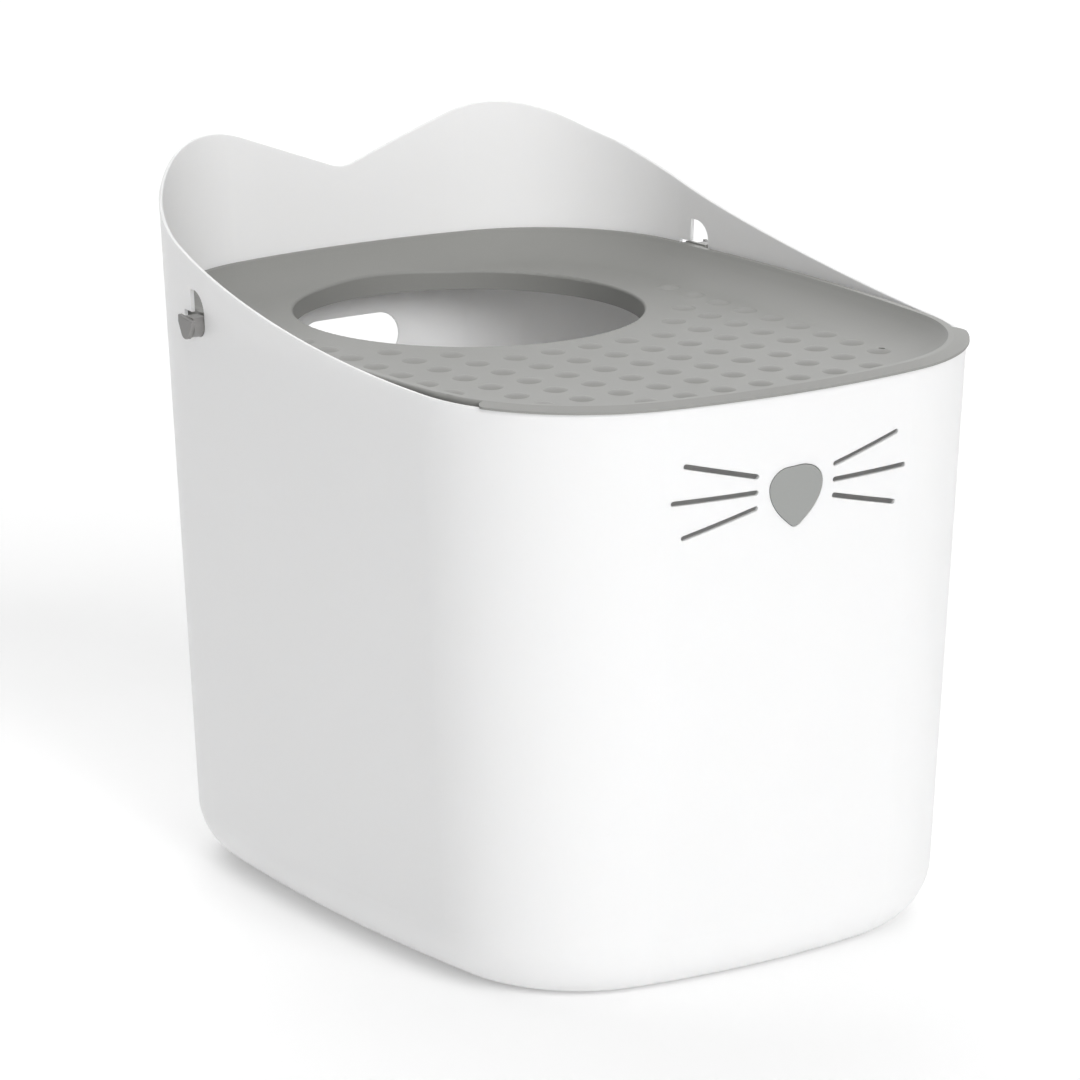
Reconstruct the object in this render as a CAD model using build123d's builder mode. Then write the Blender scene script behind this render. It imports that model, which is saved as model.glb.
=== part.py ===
from build123d import *
import os
from math import cos, radians, sin, sqrt, tan

# Top entry litter box, in millimetres. +Z is up, the front faces -Y and the
# origin lies on the floor, under the middle of the tub.

os.makedirs("parts", exist_ok=True)

# ---- plan of the tub, at the height of the lid's top edge ----
half_width = 203.0
half_length = 257.0
side_radius = 1380.0       # gentle bow of each long side
end_radius = 570.0         # bow of the front and of the rear
corner_radius = 124.0
lid_top = 382.0
draft = 2.75               # degrees that the walls lean out

# ---- tub ----
wall = 2.5
floor_thickness = 3.0
base_fillet = 41.0
edge_round = 0.7

# ---- rim: level round the front, climbing along the sides, two peaks behind ----
level_run = 67.0           # level rim, back from the front end
wing_run = 72.0            # the side rims meet the peaks this far ahead of the rear end
wing_rise = 60.5
wing_shape = ((0.35, 0.11), (0.67, 0.39), (0.85, 0.65), (1, 1))   # shares of the climb's run and rise
peak_offset = 123.4        # each side of the middle
peak_height = 96.4         # of the peaks' corner points above the lid
peak_round = 89.0
dip_height = 50.6
dip_round = 25.0
foot_reach = 27.0          # the outer slopes end this far outside the plan
foot_height = 29.3

# ---- grip opening in the rear wall ----
grip_level = 315.5
grip_length = 80.0
grip_height = 31.0

# ---- face on the front wall ----
nose_level = 313.6
nose_points = (
    (0, 19.0), (9.0, 18.4), (15.2, 15.3), (19.4, 8.9),
    (19.4, 3.4), (13.2, -8.7), (5.5, -16.0), (0, -19.0),
)
nose_gap = 0.5
flange_radius = 24.0       # of the round flange behind the wall
flange_gap = 0.1
flange_thickness = 1.9
whisker_level = 319.6
whisker_pitch = 9.6        # between the inner ends
whisker_start = 28.0       # inner ends, from the middle
whisker_width = 3.3
whisker_lengths = (54.5, 60.5, 54.5)
whisker_fan = 14.0         # degrees, outer whiskers to the middle one

# ---- lid ----
lid_side_gap = 3.0         # between the lid's edge and the wall
edge_width = 6.0           # from the edge to the dish
edge_roll = 2.5            # rounding of the edge's outer corner
edge_thickness = 3.5
edge_skirt = 3.5           # below the edge
edge_skirt_thickness = 2.0
sheet = 2.5
dish_depth = 17.0
dish_slope = 45.0
dish_round = 50.0
lip_run = 78.0             # the lip ends this far behind the front end
lip_thickness = 2.7
lip_gap = 0.3              # over the tub's rim
lip_overhang = 1.8
lip_corner = 6.0
lip_fall = 1.8             # of its top, from the dish's edge out
skirt_thickness = 1.5
skirt_drop = 0.5
lip_trim = 0.2             # cut off all round the lip's blank
hole_setback = 153.2       # from the rear end to the hole's middle
hole_radius = 115.0
hole_round = 2.0
collar_wall = 2.5
collar_drop = 13.0

# ---- raised grip bumps ----
bump_pitch = 28.6
bump_setback = 78.5        # from the front end to the first row
bump_columns = 5           # each side of the middle one
bump_rows = 10
bump_radius = 8.0
bump_height = 2.0
bump_hole_margin = 20.0    # from the hole's edge to the nearest centre
bump_edge_margin = 0.5     # from the edge of the flat floor to the nearest centre
gate_mark = (144.4, 106.6) # moulding gate's dimple: across, and from the front end
gate_radius = 2.2
gate_depth = 0.8

# ---- hinge ----
hinge_setback = 140.1      # from the rear end to the hinge's axis
hinge_drop = 6.0           # below the lid's top edge
shank_radius = 4.0
shank_clearance = 0.05
shank_length = 8.6
ridge_height = 0.4
ridge_width = 2.0
ridge_clearance = 0.1
neck_radius = 7.75
neck_flat = 5.75           # the neck's flat top above the axis
neck_length = 9.7
head_radius = 8.5          # half its width, and its reach below the axis
head_toe_radius = 5.2      # at the lower end
head_shoulder = 2.0        # full width from here up, above the axis
head_thickness = 3.0
head_top = 5.4             # above the axis, at the middle
head_tilt = 7.0            # degrees, down towards the front
slot_clearance = 1.35
slot_seat = 0.25           # between the neck and the slot's bottom
slot_height = 29.8
slot_front_round = 14.0    # upper front corner
slot_rear_round = 3.5      # upper rear corner
notch_reach = 20.0
notch_height = 7.5
notch_rise = 2.75          # of its middle above the axis
notch_round = 2.0
boss_length = 20.0
boss_gap = 1.0             # to the tub's wall
boss_reach = 16.9          # inwards, under the dish
boss_rise = 1.0            # above the lid's edge
boss_drop = 10.0           # below the axis
boss_round = 7.0
boss_edge = 1.0

# ---- worked out from the sizes above ----
front_rim = lid_top - lip_thickness - lip_gap
blank_top = lid_top + peak_height + 10.0
lid_inset = wall + lid_side_gap
dish_inset = lid_inset + edge_width
dish_floor = lid_top - dish_depth
hinge_z = lid_top - hinge_drop
hinge_y = half_length - hinge_setback
hole_y = half_length - hole_setback
bump_first_row = bump_setback - half_length
overrun = 20.0             # how far cutting tools run past what they cut


def wall_inset(z):
    """How far the tapered wall lies inside the plan at height z."""
    return (lid_top - z) * tan(radians(draft))


def plan(inset):
    """The tub's plan as a face, drawn in by inset: eight arcs that meet without a corner."""
    side_centre = Vector(half_width - side_radius, 0)
    end_centre = Vector(0, half_length - end_radius)
    span = end_centre - side_centre
    to_side = side_radius - corner_radius
    to_end = end_radius - corner_radius
    along = (to_side**2 - to_end**2 + span.length**2) / (2 * span.length)
    across = sqrt(to_side**2 - along**2)
    unit = span.normalized()
    corner = side_centre + unit * along + Vector(-unit.Y, unit.X) * across
    radius = corner_radius - inset
    side_joint = corner + (corner - side_centre).normalized() * radius
    end_joint = corner + (corner - end_centre).normalized() * radius
    middle = corner + ((side_joint + end_joint) / 2 - corner).normalized() * radius
    width = half_width - inset
    length = half_length - inset
    with BuildSketch() as outline:
        with BuildLine():
            for across_sign in (1, -1):
                ThreePointArc(
                    (across_sign * side_joint.X, -side_joint.Y),
                    (across_sign * width, 0),
                    (across_sign * side_joint.X, side_joint.Y),
                )
                ThreePointArc(
                    (-end_joint.X, across_sign * end_joint.Y),
                    (0, across_sign * length),
                    (end_joint.X, across_sign * end_joint.Y),
                )
                for along_sign in (1, -1):
                    ThreePointArc(
                        (across_sign * side_joint.X, along_sign * side_joint.Y),
                        (across_sign * middle.X, along_sign * middle.Y),
                        (across_sign * end_joint.X, along_sign * end_joint.Y),
                    )
        make_face()
    return outline.sketch


def block(low, low_inset, high, high_inset, bottom_fillet=0):
    """A solid with the tub's plan, drawn in by one inset below and by another above."""
    with BuildPart() as solid:
        with BuildSketch(Plane.XY.offset(low)):
            add(plan(low_inset))
        with BuildSketch(Plane.XY.offset(high)):
            add(plan(high_inset))
        loft(ruled=True)
        if bottom_fillet:
            fillet(solid.faces().sort_by(Axis.Z)[0].edges(), radius=bottom_fillet)
    return solid.part


def inside_wall(depth, low=0, bottom_fillet=0):
    """All that lies deeper than depth inside the tub's outer surface, from low upwards."""
    return block(low, wall_inset(low) + depth, blank_top, wall_inset(blank_top) + depth, bottom_fillet)


def nose_shape(gap):
    """Rounded triangle of the nose about its own middle, as a face, with a gap all round."""
    share = 1 + gap / nose_points[0][1]
    right = [(x * share, z * share) for x, z in nose_points]
    left = [(-x, z) for x, z in reversed(right[1:-1])]
    with BuildSketch() as shape:
        with BuildLine():
            Spline(*right, *left, periodic=True)
        make_face()
    return shape.sketch


def wall_at_hinge(depth):
    """Half width of the tub at the hinge, depth inside its outer surface."""
    along = hinge_y
    bow = side_radius - sqrt(side_radius**2 - along**2)
    return half_width - bow - depth - wall_inset(hinge_z)


# ---- tub ----

with BuildPart() as tub:
    add(inside_wall(0, 0, base_fillet))
    add(inside_wall(wall, floor_thickness, base_fillet - wall), mode=Mode.SUBTRACT)

    # side view: everything above the climbing rim
    with BuildSketch(Plane.YZ):
        with BuildLine():
            climb_start = Vector(level_run - half_length, front_rim)
            climb_run = 2 * half_length - level_run - wing_run
            waypoints = [climb_start + Vector(run * climb_run, rise * wing_rise) for run, rise in wing_shape]
            far_end = Vector(half_length, blank_top)
            Spline(climb_start, *waypoints, far_end, tangents=[(1, 0), (1, 1)])
            Polyline(
                far_end,
                (far_end.X, blank_top + overrun),
                (-half_length - overrun, blank_top + overrun),
                (-half_length - overrun, front_rim),
                climb_start,
            )
        make_face()
    extrude(amount=half_width + overrun, both=True, mode=Mode.SUBTRACT)

    # rear view: everything above the two peaks
    with BuildSketch(Plane.XZ):
        with BuildLine():
            foot = half_width + foot_reach
            foot_z = lid_top + foot_height
            FilletPolyline(
                (-foot, foot_z),
                (-peak_offset, lid_top + peak_height),
                (0, lid_top + dip_height),
                (peak_offset, lid_top + peak_height),
                (foot, foot_z),
                radius=[peak_round, dip_round, peak_round],
            )
            Polyline(
                (foot, foot_z),
                (foot, blank_top + overrun),
                (-foot, blank_top + overrun),
                (-foot, foot_z),
            )
        make_face()
    extrude(amount=half_length + overrun, both=True, mode=Mode.SUBTRACT)
    rim_faces = tub.faces().filter_by(lambda f: f.center().Z > front_rim - 1 and abs(f.normal_at().Z) > 0.5)
    fillet(rim_faces.edges(), radius=edge_round)

    # hinge slots, each with a notch towards the rear
    slot_radius = neck_radius + slot_clearance
    slot_bottom = hinge_z - neck_radius - slot_seat
    with BuildSketch(Plane.YZ) as slot:
        with Locations((hinge_y, slot_bottom + slot_height / 2)):
            Rectangle(2 * slot_radius, slot_height)
        upper_front, upper_rear = slot.vertices().group_by(Axis.Y)[-1].sort_by(Axis.X)
        fillet(upper_front, radius=slot_front_round)
        fillet(upper_rear, radius=slot_rear_round)
        fillet(slot.vertices().group_by(Axis.Y)[0], radius=slot_radius * 0.98)
        with Locations((hinge_y + notch_reach / 2, hinge_z + notch_rise)):
            RectangleRounded(notch_reach, notch_height, notch_round)
    extrude(amount=half_width + overrun, both=True, mode=Mode.SUBTRACT)

    # grip opening in the rear wall
    with BuildSketch(Plane.XZ):
        with Locations((0, grip_level)):
            SlotOverall(grip_length, grip_height)
    extrude(amount=-half_length - overrun, mode=Mode.SUBTRACT)
    grip_edges = tub.edges().filter_by(
        lambda e: e.center().Y > half_length / 2 and abs(e.center().Z - grip_level) <= grip_height / 2 + 1
        and abs(e.center().X) <= grip_length / 2 + 1
    )
    fillet(grip_edges, radius=edge_round)

    # nose opening and whisker slits in the front wall
    with BuildSketch(Plane.XZ):
        with Locations((0, nose_level)):
            add(nose_shape(nose_gap))
        for side in (1, -1):
            for row, length in zip((1, 0, -1), whisker_lengths):
                angle = row * whisker_fan
                reach = length / 2
                x = whisker_start + reach * cos(radians(angle))
                z = whisker_level + row * whisker_pitch + reach * sin(radians(angle))
                with Locations((side * x, z)):
                    SlotOverall(length, whisker_width, rotation=side * angle)
    extrude(amount=half_length + overrun, mode=Mode.SUBTRACT)
tub.part.label = "tub"
export_step(tub.part, "parts/tub.step")

# ---- nose inlay: a plug flush with the wall, and a flange behind it ----

flange_start = wall + flange_gap
flange_end = flange_start + flange_thickness
with BuildPart() as nose_flange:
    with BuildSketch(Plane.XZ):
        with Locations((0, nose_level)):
            Circle(flange_radius)
    extrude(amount=half_length + overrun)
    add(inside_wall(flange_start), mode=Mode.INTERSECT)

with BuildPart() as nose_inlay:
    with BuildSketch(Plane.XZ):
        with Locations((0, nose_level)):
            add(nose_shape(0))
    extrude(amount=half_length + overrun)
    add(inside_wall(0), mode=Mode.INTERSECT)
    add(nose_flange.part)
    add(inside_wall(flange_end), mode=Mode.SUBTRACT)
nose_inlay.part.label = "nose_inlay"
export_step(nose_inlay.part, "parts/nose_inlay.step")

# ---- hinge pins: shank with a snap ridge, flat-topped neck and a broad head ----

boss_face = wall_at_hinge(wall + boss_gap)      # half width over the lid's bosses
neck_start = wall_at_hinge(wall)
neck_end = neck_start + neck_length
ridge_middle = neck_start - shank_length + ridge_width

with BuildPart() as hinge_pin_right:
    hinge_plane = Plane.YZ.offset(neck_start - shank_length)
    with BuildSketch(hinge_plane):
        with Locations((hinge_y, hinge_z)):
            Circle(shank_radius)
    extrude(amount=shank_length)
    chamfer(hinge_pin_right.faces().sort_by(Axis.X)[0].edges(), length=ridge_height)
    with BuildSketch(Plane.YZ.offset(ridge_middle - ridge_width / 2)):
        with Locations((hinge_y, hinge_z)):
            Circle(shank_radius + ridge_height)
    extrude(amount=ridge_width)
    with BuildSketch(Plane.YZ.offset(neck_start)):
        with Locations((hinge_y, hinge_z)):
            Circle(neck_radius)
        with Locations((hinge_y, hinge_z + neck_flat + neck_radius)):
            Rectangle(2 * neck_radius, 2 * neck_radius, mode=Mode.SUBTRACT)
    extrude(amount=neck_length)
    with BuildSketch(Plane.YZ.offset(neck_end)):
        with BuildLine():
            head_front = hinge_y - head_radius
            head_rear = hinge_y + head_radius
            CenterArc((hinge_y, hinge_z + head_toe_radius - head_radius), head_toe_radius, 0, 360)
            Line((head_front, hinge_z + head_shoulder), (head_rear, hinge_z + head_shoulder))
            Line((head_front, hinge_z + head_radius), (head_rear, hinge_z + head_radius))
        make_hull()
        with Locations(Location((hinge_y, hinge_z + head_top), head_tilt)):
            Rectangle(4 * head_radius, 4 * head_radius, align=(Align.CENTER, Align.MIN), mode=Mode.SUBTRACT)
    extrude(amount=head_thickness)
    fillet(hinge_pin_right.faces().sort_by(Axis.X)[-1].edges(), radius=edge_round)
hinge_pin_right.part.label = "hinge_pin_right"
export_step(hinge_pin_right.part, "parts/hinge_pin_right.step")

with BuildPart() as hinge_pin_left:
    mirror(hinge_pin_right.part, about=Plane.YZ)
hinge_pin_left.part.label = "hinge_pin_left"
export_step(hinge_pin_left.part, "parts/hinge_pin_left.step")

# ---- lid ----

slope = tan(radians(dish_slope))
under_inset = dish_inset - sheet / sin(radians(dish_slope))
collar_bottom = dish_floor - collar_drop


def tray(low, inset_at_top, high, bottom_fillet):
    """A solid with the dish's sloping sides, its plan drawn in by inset_at_top at the lid's top."""
    low_inset = inset_at_top + (lid_top - low) / slope
    high_inset = inset_at_top + (lid_top - high) / slope
    return block(low, low_inset, high, high_inset, bottom_fillet)


dish = tray(dish_floor, dish_inset, lid_top, dish_round)

with BuildPart() as boss:
    # rounded block against the wall, cut back to the outside of the dish and of the lid's edge
    with BuildSketch(Plane.YZ.offset(boss_face)) as boss_side:
        with Locations((hinge_y, hinge_z - boss_drop)):
            Rectangle(
                boss_length,
                boss_drop + hinge_drop + boss_rise,
                align=(Align.CENTER, Align.MIN),
            )
        fillet(boss_side.vertices().group_by(Axis.Y)[0], radius=boss_round)
        fillet(boss_side.vertices().group_by(Axis.Y)[-1], radius=boss_edge)
    extrude(amount=-boss_reach)
    add(inside_wall(wall + boss_gap), mode=Mode.INTERSECT)
    add(dish, mode=Mode.SUBTRACT)
    with BuildSketch(Plane.XY.offset(lid_top)):
        add(plan(lid_inset))
    extrude(amount=boss_rise + overrun, mode=Mode.SUBTRACT)

with BuildSketch() as lip_outline:
    add(plan(-lip_overhang))
    with Locations((0, lip_run - half_length)):
        Rectangle(3 * half_width, 3 * half_length, align=(Align.CENTER, Align.MIN), mode=Mode.SUBTRACT)
    fillet(lip_outline.vertices().group_by(Axis.Y)[-1], radius=lip_corner)

with BuildPart() as rim_edge:
    add(block(lid_top - edge_thickness - edge_skirt, lid_inset, lid_top, lid_inset))
    fillet(rim_edge.faces().sort_by(Axis.Z)[-1].edges(), radius=edge_roll)
    with BuildSketch(Plane.XY.offset(lid_top - edge_thickness)):
        add(plan(lid_inset + edge_skirt_thickness))
    extrude(amount=-edge_skirt, mode=Mode.SUBTRACT)

with BuildPart() as lip:
    lip_bottom = lid_top - lip_thickness
    lip_shoulder = lid_top - lip_fall
    blank_inset = -lip_overhang - lip_trim
    add(block(lip_bottom - skirt_drop, blank_inset, lip_shoulder, blank_inset))
    add(block(lip_shoulder, blank_inset, lid_top, lid_inset + edge_roll))
    with BuildSketch(Plane.XY.offset(lip_bottom)):
        add(plan(skirt_thickness - lip_overhang))
    extrude(amount=-skirt_drop, mode=Mode.SUBTRACT)
    with BuildSketch(Plane.XY.offset(lip_bottom - skirt_drop)):
        add(lip_outline.sketch)
    extrude(amount=lip_thickness + skirt_drop, mode=Mode.INTERSECT)

with BuildPart() as lid:
    add(tray(dish_floor - sheet, under_inset, lid_top - edge_thickness, dish_round + sheet))
    add(rim_edge.part)
    add(lip.part)
    with BuildSketch(Plane.XY.offset(collar_bottom)):
        with Locations((0, hole_y)):
            Circle(hole_radius + collar_wall)
    extrude(amount=collar_drop + sheet)

    # hollow of the dish and the entry hole
    add(dish, mode=Mode.SUBTRACT)
    with BuildSketch(Plane.XY.offset(collar_bottom)):
        with Locations((0, hole_y)):
            Circle(hole_radius)
    extrude(amount=collar_drop + dish_depth, mode=Mode.SUBTRACT)
    hole_wall = lid.faces().filter_by(
        lambda f: f.geom_type == GeomType.CYLINDER
        and f.center().Z < dish_floor
        and abs(f.radius - hole_radius) < 0.01
    )
    hole_edges = hole_wall.edges().filter_by(lambda e: e.center().Z > dish_floor - 1)
    fillet(hole_edges.filter_by(GeomType.LINE, reverse=True), radius=hole_round)

    # hinge bosses, with blind bores that hold the pins
    add(boss.part)
    mirror(boss.part, about=Plane.YZ)
    bore_depth = shank_length - boss_gap + ridge_clearance
    groove_width = ridge_width + 2 * ridge_clearance
    for sign in (1, -1):
        with BuildSketch(Plane.YZ.offset(sign * boss_face)):
            with Locations((hinge_y, hinge_z)):
                Circle(shank_radius + shank_clearance)
        extrude(amount=-sign * bore_depth, mode=Mode.SUBTRACT)
        with BuildSketch(Plane.YZ.offset(sign * (ridge_middle - groove_width / 2))):
            with Locations((hinge_y, hinge_z)):
                Circle(shank_radius + ridge_height + ridge_clearance)
        extrude(amount=sign * groove_width, mode=Mode.SUBTRACT)

with BuildPart() as bump:
    bump_curve = (bump_radius**2 + bump_height**2) / (2 * bump_height)
    with Locations((0, 0, dish_floor + bump_height - bump_curve)):
        Sphere(bump_curve)
    split(bisect_by=Plane.XY.offset(dish_floor - sheet / 4), keep=Keep.TOP)

flat_inset = dish_inset + dish_depth / slope + dish_round * tan(radians(dish_slope / 2))
flat_floor = plan(flat_inset + bump_edge_margin)
bump_places = []
for column in range(-bump_columns, bump_columns + 1):
    for row in range(bump_rows):
        place = Vector(column * bump_pitch, bump_first_row + row * bump_pitch)
        clear_of_hole = (place - Vector(0, hole_y)).length > hole_radius + bump_hole_margin
        if clear_of_hole and flat_floor.face().is_inside(place):
            bump_places.append(place)
with lid:
    with Locations(*bump_places):
        add(bump.part)
    with BuildSketch(Plane.XY.offset(dish_floor - gate_depth)):
        with Locations((gate_mark[0], gate_mark[1] - half_length)):
            Circle(gate_radius)
    extrude(amount=gate_depth + dish_depth, mode=Mode.SUBTRACT)
lid.part.label = "lid"
export_step(lid.part, "parts/lid.step")
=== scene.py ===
import math

import bpy
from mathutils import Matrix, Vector

# A top entry litter box in moulded polypropylene: a white tub and a matt grey lid on two pins.
# Metres and degrees; the front faces -Y and the floor is at z = 0.

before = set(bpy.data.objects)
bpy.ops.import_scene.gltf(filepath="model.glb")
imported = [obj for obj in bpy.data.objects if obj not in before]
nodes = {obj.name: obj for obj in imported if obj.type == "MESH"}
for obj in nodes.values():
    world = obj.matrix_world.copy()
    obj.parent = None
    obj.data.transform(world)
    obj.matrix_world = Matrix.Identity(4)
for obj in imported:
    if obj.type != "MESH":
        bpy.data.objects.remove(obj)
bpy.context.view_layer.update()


# ---- shader groups that the plastics share ----

# noise scales, in features per metre
cloud_scale = 7.0
speck_scale = 900.0
wave_scale = 22.0
patch_scale = 12.0

noise_middle = 0.5


def feed(tree, value, socket):
    """Puts a number, or another node's output, into a socket."""
    if isinstance(value, (int, float)):
        socket.default_value = value
    else:
        tree.links.new(value, socket)


def calculate(tree, operation, first, second):
    """The outcome of one step of arithmetic on two numbers or outputs."""
    step = tree.nodes.new("ShaderNodeMath")
    step.operation = operation
    feed(tree, first, step.inputs[0])
    feed(tree, second, step.inputs[1])
    return step.outputs[0]


def noise(tree, vector, scale, detail, roughness=0.5):
    """A noise pattern from 0 to 1 on the given coordinates."""
    texture = tree.nodes.new("ShaderNodeTexNoise")
    texture.inputs["Detail"].default_value = detail
    texture.inputs["Roughness"].default_value = roughness
    tree.links.new(vector, texture.inputs["Vector"])
    feed(tree, scale, texture.inputs["Scale"])
    return texture.outputs["Fac"]


def around_middle(tree, pattern, amount):
    """Turns a pattern from 0 to 1 into a swing about zero, amount wide."""
    centred = calculate(tree, "SUBTRACT", pattern, noise_middle)
    return calculate(tree, "MULTIPLY", centred, amount)


def new_group(name, inputs, outputs):
    """An empty shader group with the given inputs (name, kind, value) and outputs (name, kind)."""
    group = bpy.data.node_groups.new(name, "ShaderNodeTree")
    for label, kind, value in inputs:
        socket = group.interface.new_socket(name=label, in_out="INPUT", socket_type=kind)
        socket.default_value = value
    for label, kind in outputs:
        group.interface.new_socket(name=label, in_out="OUTPUT", socket_type=kind)
    entry = group.nodes.new("NodeGroupInput").outputs
    leave = group.nodes.new("NodeGroupOutput").inputs
    return group, entry, leave


def build_moulded_colour():
    """Slow cloudiness of moulded plastic, with fine pigment specks."""
    group, entry, leave = new_group(
        "moulded colour",
        [
            ("Vector", "NodeSocketVector", (0, 0, 0)),
            ("Colour", "NodeSocketColor", (0.8, 0.8, 0.8, 1)),
            ("Clouding", "NodeSocketFloat", 0.04),
            ("Specks", "NodeSocketFloat", 0.03),
        ],
        [("Colour", "NodeSocketColor")],
    )
    cloud = noise(group, entry["Vector"], cloud_scale, detail=3.0)
    speck = noise(group, entry["Vector"], speck_scale, detail=1.0)
    swing = calculate(
        group,
        "ADD",
        around_middle(group, cloud, entry["Clouding"]),
        around_middle(group, speck, entry["Specks"]),
    )
    shade = group.nodes.new("ShaderNodeVectorMath")
    shade.operation = "SCALE"
    group.links.new(entry["Colour"], shade.inputs[0])
    group.links.new(calculate(group, "ADD", swing, 1.0), shade.inputs["Scale"])
    group.links.new(shade.outputs[0], leave["Colour"])
    return group


def build_moulded_skin():
    """Fine spark-eroded grain of the mould, with slow waves in the sheet and patches of shine."""
    group, entry, leave = new_group(
        "moulded skin",
        [
            ("Vector", "NodeSocketVector", (0, 0, 0)),
            ("Grain Size", "NodeSocketFloat", 1500.0),
            ("Waviness", "NodeSocketFloat", 0.3),
            ("Roughness", "NodeSocketFloat", 0.45),
            ("Roughness Swing", "NodeSocketFloat", 0.08),
        ],
        [("Height", "NodeSocketFloat"), ("Roughness", "NodeSocketFloat")],
    )
    grain = noise(group, entry["Vector"], entry["Grain Size"], detail=2.0, roughness=0.6)
    wave = noise(group, entry["Vector"], wave_scale, detail=1.0)
    wave_height = around_middle(group, wave, entry["Waviness"])
    group.links.new(calculate(group, "ADD", grain, wave_height), leave["Height"])
    patch = noise(group, entry["Vector"], patch_scale, detail=4.0, roughness=0.65)
    swing = around_middle(group, patch, entry["Roughness Swing"])
    group.links.new(calculate(group, "ADD", entry["Roughness"], swing), leave["Roughness"])
    return group


moulded_colour = build_moulded_colour()
moulded_skin = build_moulded_skin()


# ---- plastics ----

plastic_ior = 1.49
glow_depth = 0.004                      # how far light spreads inside the white plastic
glow_tint = (1.0, 0.98, 0.95)


def plastic(
    name, colour, clouding, specks, grain_size, waviness, roughness, roughness_swing,
    relief_depth, glow=0.0,
):
    """A moulded plastic with its own colour and skin."""
    material = bpy.data.materials.new(name)
    material.use_nodes = True
    tree = material.node_tree
    shader = tree.nodes["Principled BSDF"]
    shader.inputs["IOR"].default_value = plastic_ior
    place = tree.nodes.new("ShaderNodeTexCoord")
    tint = tree.nodes.new("ShaderNodeGroup")
    tint.node_tree = moulded_colour
    tint.inputs["Colour"].default_value = (*colour, 1)
    tint.inputs["Clouding"].default_value = clouding
    tint.inputs["Specks"].default_value = specks
    skin = tree.nodes.new("ShaderNodeGroup")
    skin.node_tree = moulded_skin
    skin.inputs["Grain Size"].default_value = grain_size
    skin.inputs["Waviness"].default_value = waviness
    skin.inputs["Roughness"].default_value = roughness
    skin.inputs["Roughness Swing"].default_value = roughness_swing
    relief = tree.nodes.new("ShaderNodeBump")
    relief.inputs["Strength"].default_value = 1.0
    relief.inputs["Distance"].default_value = relief_depth
    tree.links.new(place.outputs["Object"], tint.inputs["Vector"])
    tree.links.new(place.outputs["Object"], skin.inputs["Vector"])
    tree.links.new(tint.outputs["Colour"], shader.inputs["Base Color"])
    tree.links.new(skin.outputs["Roughness"], shader.inputs["Roughness"])
    tree.links.new(skin.outputs["Height"], relief.inputs["Height"])
    tree.links.new(relief.outputs["Normal"], shader.inputs["Normal"])
    if glow:
        shader.inputs["Subsurface Weight"].default_value = glow
        shader.inputs["Subsurface Radius"].default_value = glow_tint
        shader.inputs["Subsurface Scale"].default_value = glow_depth
    return material


white_plastic = plastic(
    "white polypropylene",
    colour=(0.85, 0.85, 0.85),
    clouding=0.012,
    specks=0.012,
    grain_size=1400.0,
    waviness=2.0,
    roughness=0.36,
    roughness_swing=0.06,
    relief_depth=0.00002,
    glow=0.65,
)
lid_plastic = plastic(
    "matt grey polypropylene",
    colour=(0.277, 0.277, 0.264),
    clouding=0.03,
    specks=0.05,
    grain_size=1600.0,
    waviness=1.5,
    roughness=0.52,
    roughness_swing=0.08,
    relief_depth=0.00003,
)
# The hinge pins are the lid's grey plastic, given a darker grey here as painted shade for the
# shadowed sides of the pin heads.
pin_plastic_painted_shade = plastic(
    "grey hinge pin plastic darkened as painted shade",
    colour=(0.245, 0.24, 0.235),
    clouding=0.03,
    specks=0.04,
    grain_size=1600.0,
    waviness=0.6,
    roughness=0.42,
    roughness_swing=0.08,
    relief_depth=0.00002,
)
nose_plastic = plastic(
    "grey nose plastic",
    colour=(0.3, 0.307, 0.298),
    clouding=0.03,
    specks=0.04,
    grain_size=1600.0,
    waviness=0.6,
    roughness=0.46,
    roughness_swing=0.06,
    relief_depth=0.00002,
)
finishes = {
    "tub": white_plastic,
    "lid": lid_plastic,
    "nose_inlay": nose_plastic,
    "hinge_pin_left": pin_plastic_painted_shade,
    "hinge_pin_right": pin_plastic_painted_shade,
}
for name, finish in finishes.items():
    nodes[name].material_slots[0].material = finish


# ---- floor ----

floor_size = 60
floor_colour = (0.95, 0.95, 0.95, 1)
floor_glow = 0.14                       # keeps the floor white out to the edge of the view

bpy.ops.object.select_all(action="DESELECT")
bpy.ops.mesh.primitive_plane_add(size=floor_size)
floor = bpy.context.object
floor.name = "floor"
floor_finish = bpy.data.materials.new("pale floor")
floor_finish.use_nodes = True
floor_shader = floor_finish.node_tree.nodes["Principled BSDF"]
floor_shader.inputs["Base Color"].default_value = floor_colour
floor_shader.inputs["Roughness"].default_value = 0.9
floor_shader.inputs["Specular IOR Level"].default_value = 0.1
floor_shader.inputs["Emission Color"].default_value = (1, 1, 1, 1)
floor_shader.inputs["Emission Strength"].default_value = floor_glow
floor.data.materials.append(floor_finish)


# ---- light ----

fill_level = 0.03


def bright_wall(tree, towards, tightness, strength):
    """A soft bright patch of the surroundings, brightest in one direction."""
    place = tree.nodes.new("ShaderNodeTexCoord")
    facing = tree.nodes.new("ShaderNodeVectorMath")
    facing.operation = "DOT_PRODUCT"
    facing.inputs[1].default_value = Vector(towards).normalized()
    tree.links.new(place.outputs["Generated"], facing.inputs[0])
    bright_half = calculate(tree, "MAXIMUM", facing.outputs["Value"], 0)
    falloff = calculate(tree, "POWER", bright_half, tightness)
    return calculate(tree, "MULTIPLY", falloff, strength)


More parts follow.
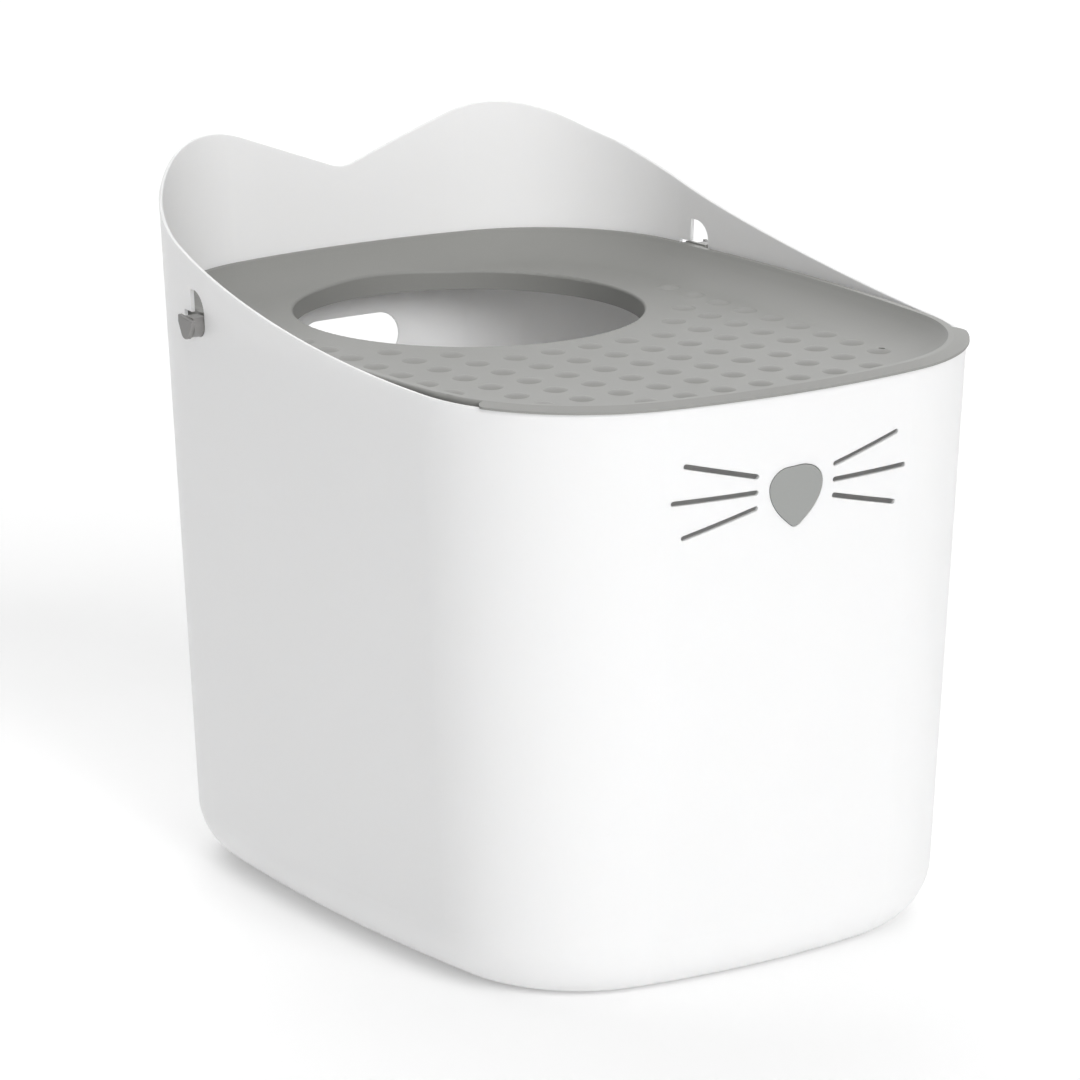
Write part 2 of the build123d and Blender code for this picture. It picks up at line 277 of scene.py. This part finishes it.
world = bpy.data.worlds.new("studio")
bpy.context.scene.world = world
world.use_nodes = True
studio = world.node_tree
backdrop = bright_wall(studio, towards=(0.53, 0.78, 0.34), tightness=8, strength=2.2)
rear_wall = bright_wall(studio, towards=(0, 1, 0), tightness=2, strength=0.25)
surroundings = calculate(studio, "ADD", backdrop, rear_wall)
background = studio.nodes["Background"]
studio.links.new(calculate(studio, "ADD", surroundings, fill_level), background.inputs["Color"])
background.inputs["Strength"].default_value = 1.0


def direction(azimuth, elevation):
    """Points away from the part; azimuth counts from straight ahead of the front, towards +X."""
    turn = math.radians(azimuth)
    rise = math.radians(elevation)
    return Vector((
        math.sin(turn) * math.cos(rise),
        -math.cos(turn) * math.cos(rise),
        math.sin(rise),
    ))


def soft_light(name, azimuth, elevation, strength, spread):
    """A distant soft light that shines from the given direction."""
    lamp = bpy.data.lights.new(name, "SUN")
    lamp.energy = strength
    lamp.angle = math.radians(spread)
    holder = bpy.data.objects.new(name, lamp)
    bpy.context.scene.collection.objects.link(holder)
    towards = direction(azimuth, elevation)
    holder.rotation_euler = towards.to_track_quat("Z", "Y").to_euler()


soft_light("front softbox", azimuth=0, elevation=28, strength=1.25, spread=30)
soft_light("left front softbox", azimuth=-30, elevation=25, strength=1.1, spread=50)
soft_light("overhead softbox", azimuth=0, elevation=90, strength=0.8, spread=60)
soft_light("right softbox", azimuth=90, elevation=40, strength=0.15, spread=50)
soft_light("rear softbox", azimuth=180, elevation=50, strength=0.48, spread=50)


# ---- camera ----

view_azimuth = -34.31746
view_elevation = 14.94314
view_distance = 3.524225
middle_height = 0.2
aim_left = 0.011882                     # from the part's middle to what the camera looks at
aim_up = 0.029002
sensor_width = 36                       # millimetres, as is the lens
lens_length = 181.4732

forward = -direction(view_azimuth, view_elevation)
turn = math.radians(view_azimuth)
right = Vector((math.cos(turn), math.sin(turn), 0))
up = right.cross(forward)
aim = Vector((0, 0, middle_height)) - right * aim_left + up * aim_up
lens = bpy.data.cameras.new("camera")
lens.sensor_width = sensor_width
lens.lens = lens_length
camera = bpy.data.objects.new("camera", lens)
bpy.context.scene.collection.objects.link(camera)
camera.location = aim - forward * view_distance
camera.rotation_euler = forward.to_track_quat("-Z", "Y").to_euler()
bpy.context.scene.camera = camera
bpy.context.scene.view_settings.view_transform = "Standard"
